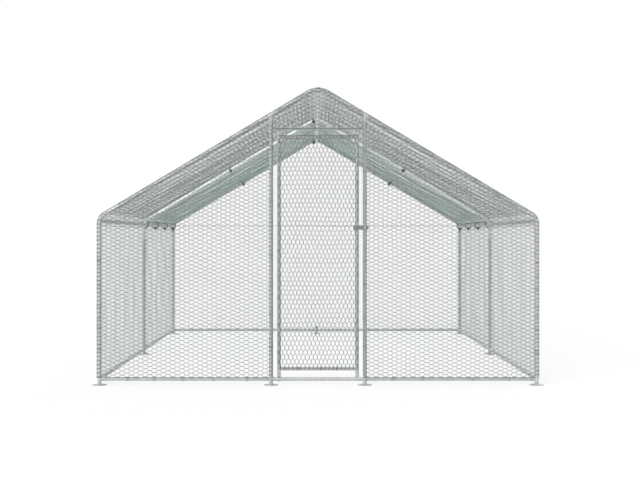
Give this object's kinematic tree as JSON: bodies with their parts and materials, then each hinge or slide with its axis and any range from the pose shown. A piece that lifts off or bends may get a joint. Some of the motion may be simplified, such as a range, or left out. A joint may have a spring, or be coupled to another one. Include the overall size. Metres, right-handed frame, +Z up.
{
  "type": "chicken run",
  "caption": "Walk-in gabled chicken run of galvanised tube portal frames closed in with hexagonal wire netting, with a pivot-hung door, a hasp and a tied roof sheet.",
  "frame": {"origin": "on the ground under the middle of the run", "axes": "+Z up, -Y towards the front with the door, +X to the right seen from the front"},
  "size_m": [3.1, 4.0998, 2.0507],
  "materials": {
    "galvanised_tube": "galvanised",
    "netting_wire": "galvanised wire",
    "cover_sheet": "woven sheet",
    "elastic_cord": "braided elastic",
    "black_plastic": "moulded",
    "plated_steel": "zinc plated",
    "hasp_steel": "zinc plated"
  },
  "bodies": {
    "frame": {"front_left_leg": "galvanised_tube", "front_right_leg": "galvanised_tube", "middle_legs": "galvanised_tube", "back_left_leg": "galvanised_tube", "back_right_leg": "galvanised_tube", "front_left_rafter": "galvanised_tube", "front_right_rafter": "galvanised_tube", "middle_left_rafter": "galvanised_tube", "middle_right_rafter": "galvanised_tube", "back_left_rafter": "galvanised_tube", "back_right_rafter": "galvanised_tube", "front_eave_bends": "galvanised_tube", "middle_eave_bends": "galvanised_tube", "back_eave_bends": "galvanised_tube", "front_ridge_bend": "galvanised_tube", "middle_ridge_bend": "galvanised_tube", "back_ridge_bend": "galvanised_tube", "front_corner_bases": "galvanised_tube", "door_jamb_bases": "galvanised_tube", "middle_bases": "galvanised_tube", "back_corner_bases": "galvanised_tube", "back_middle_base": "galvanised_tube", "front_feet": "galvanised_tube", "middle_feet": "galvanised_tube", "back_feet": "galvanised_tube", "ridge_purlins": "galvanised_tube", "left_eave_purlins": "galvanised_tube", "right_eave_purlins": "galvanised_tube", "left_base_rails": "galvanised_tube", "right_base_rails": "galvanised_tube", "front_base_rails": "galvanised_tube", "door_threshold": "galvanised_tube", "back_base_rails": "galvanised_tube", "left_door_jamb": "galvanised_tube", "right_door_jamb": "galvanised_tube", "jamb_clamps": "galvanised_tube", "door_header": "galvanised_tube", "front_left_net": "netting_wire", "front_right_net": "netting_wire", "front_gable_net": "netting_wire", "back_net": "netting_wire", "left_side_net": "netting_wire", "right_side_net": "netting_wire", "left_roof_net": "netting_wire", "right_roof_net": "netting_wire", "roof_cover": "cover_sheet", "cover_eyelets": "plated_steel", "bungee_cords": "elastic_cord", "bungee_balls": "black_plastic", "frame_screws": "plated_steel", "door_pivot_pins": "plated_steel", "hasp_staple": "hasp_steel"},
    "door": {"door_hinge_stile": "galvanised_tube", "door_latch_stile": "galvanised_tube", "door_rails": "galvanised_tube", "door_net": "netting_wire", "door_bushes_and_caps": "black_plastic", "door_screws": "plated_steel", "hasp_bracket_and_pin": "hasp_steel"},
    "hasp": {"hasp_strap": "hasp_steel"}
  },
  "joints": [
    {"name": "door_swing", "type": "hinge", "parent": "frame", "child": "door", "pos_m": [-0.268, -2, 0.9], "axis": [0, 0, -1], "range_deg": [0, 110]},
    {"name": "hasp_swing", "type": "hinge", "parent": "door", "child": "hasp", "pos_m": [0.246, -2.021, 1.08], "axis": [0, 0, -1], "range_deg": [0, 170]}
  ]
}
